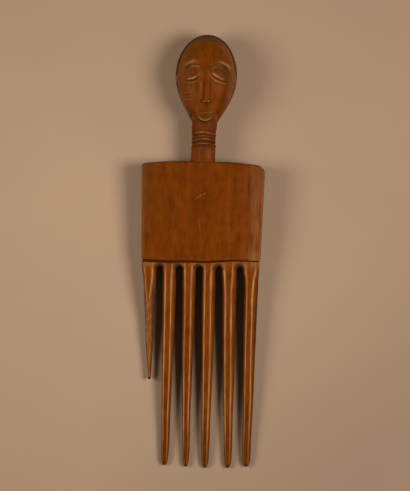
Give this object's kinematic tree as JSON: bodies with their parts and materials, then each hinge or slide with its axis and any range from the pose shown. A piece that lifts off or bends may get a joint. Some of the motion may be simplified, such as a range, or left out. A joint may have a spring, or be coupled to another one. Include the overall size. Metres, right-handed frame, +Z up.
{
  "type": "hair comb",
  "caption": "Hand-carved wooden comb with long tapered teeth, one broken short, a flat plate, a ringed neck and an oval head.",
  "frame": {"origin": "middle of the footprint on the surface that the comb lies on, face up", "axes": "+X across the comb to the right as the face is seen, +Y along the comb towards the head, +Z up out of the face"},
  "size_m": [0.0742, 0.261, 0.0301],
  "materials": {
    "patinated_wood": "oiled, hand-worn satin",
    "dark_stained_wood": "dark stained satin",
    "worn_wood": "worn bare satin",
    "split_wood": "split, rough and dry"
  },
  "bodies": {
    "root": {"face": "patinated_wood", "hair_cap": "dark_stained_wood", "left_ear": "patinated_wood", "right_ear": "patinated_wood", "neck": "patinated_wood", "neck_rings": "patinated_wood", "plate": "patinated_wood", "tooth_rail": "worn_wood", "tooth_1": "split_wood", "tooth_2": "worn_wood", "tooth_3": "worn_wood", "tooth_4": "worn_wood", "tooth_5": "worn_wood", "tooth_6": "worn_wood"}
  },
  "joints": []
}
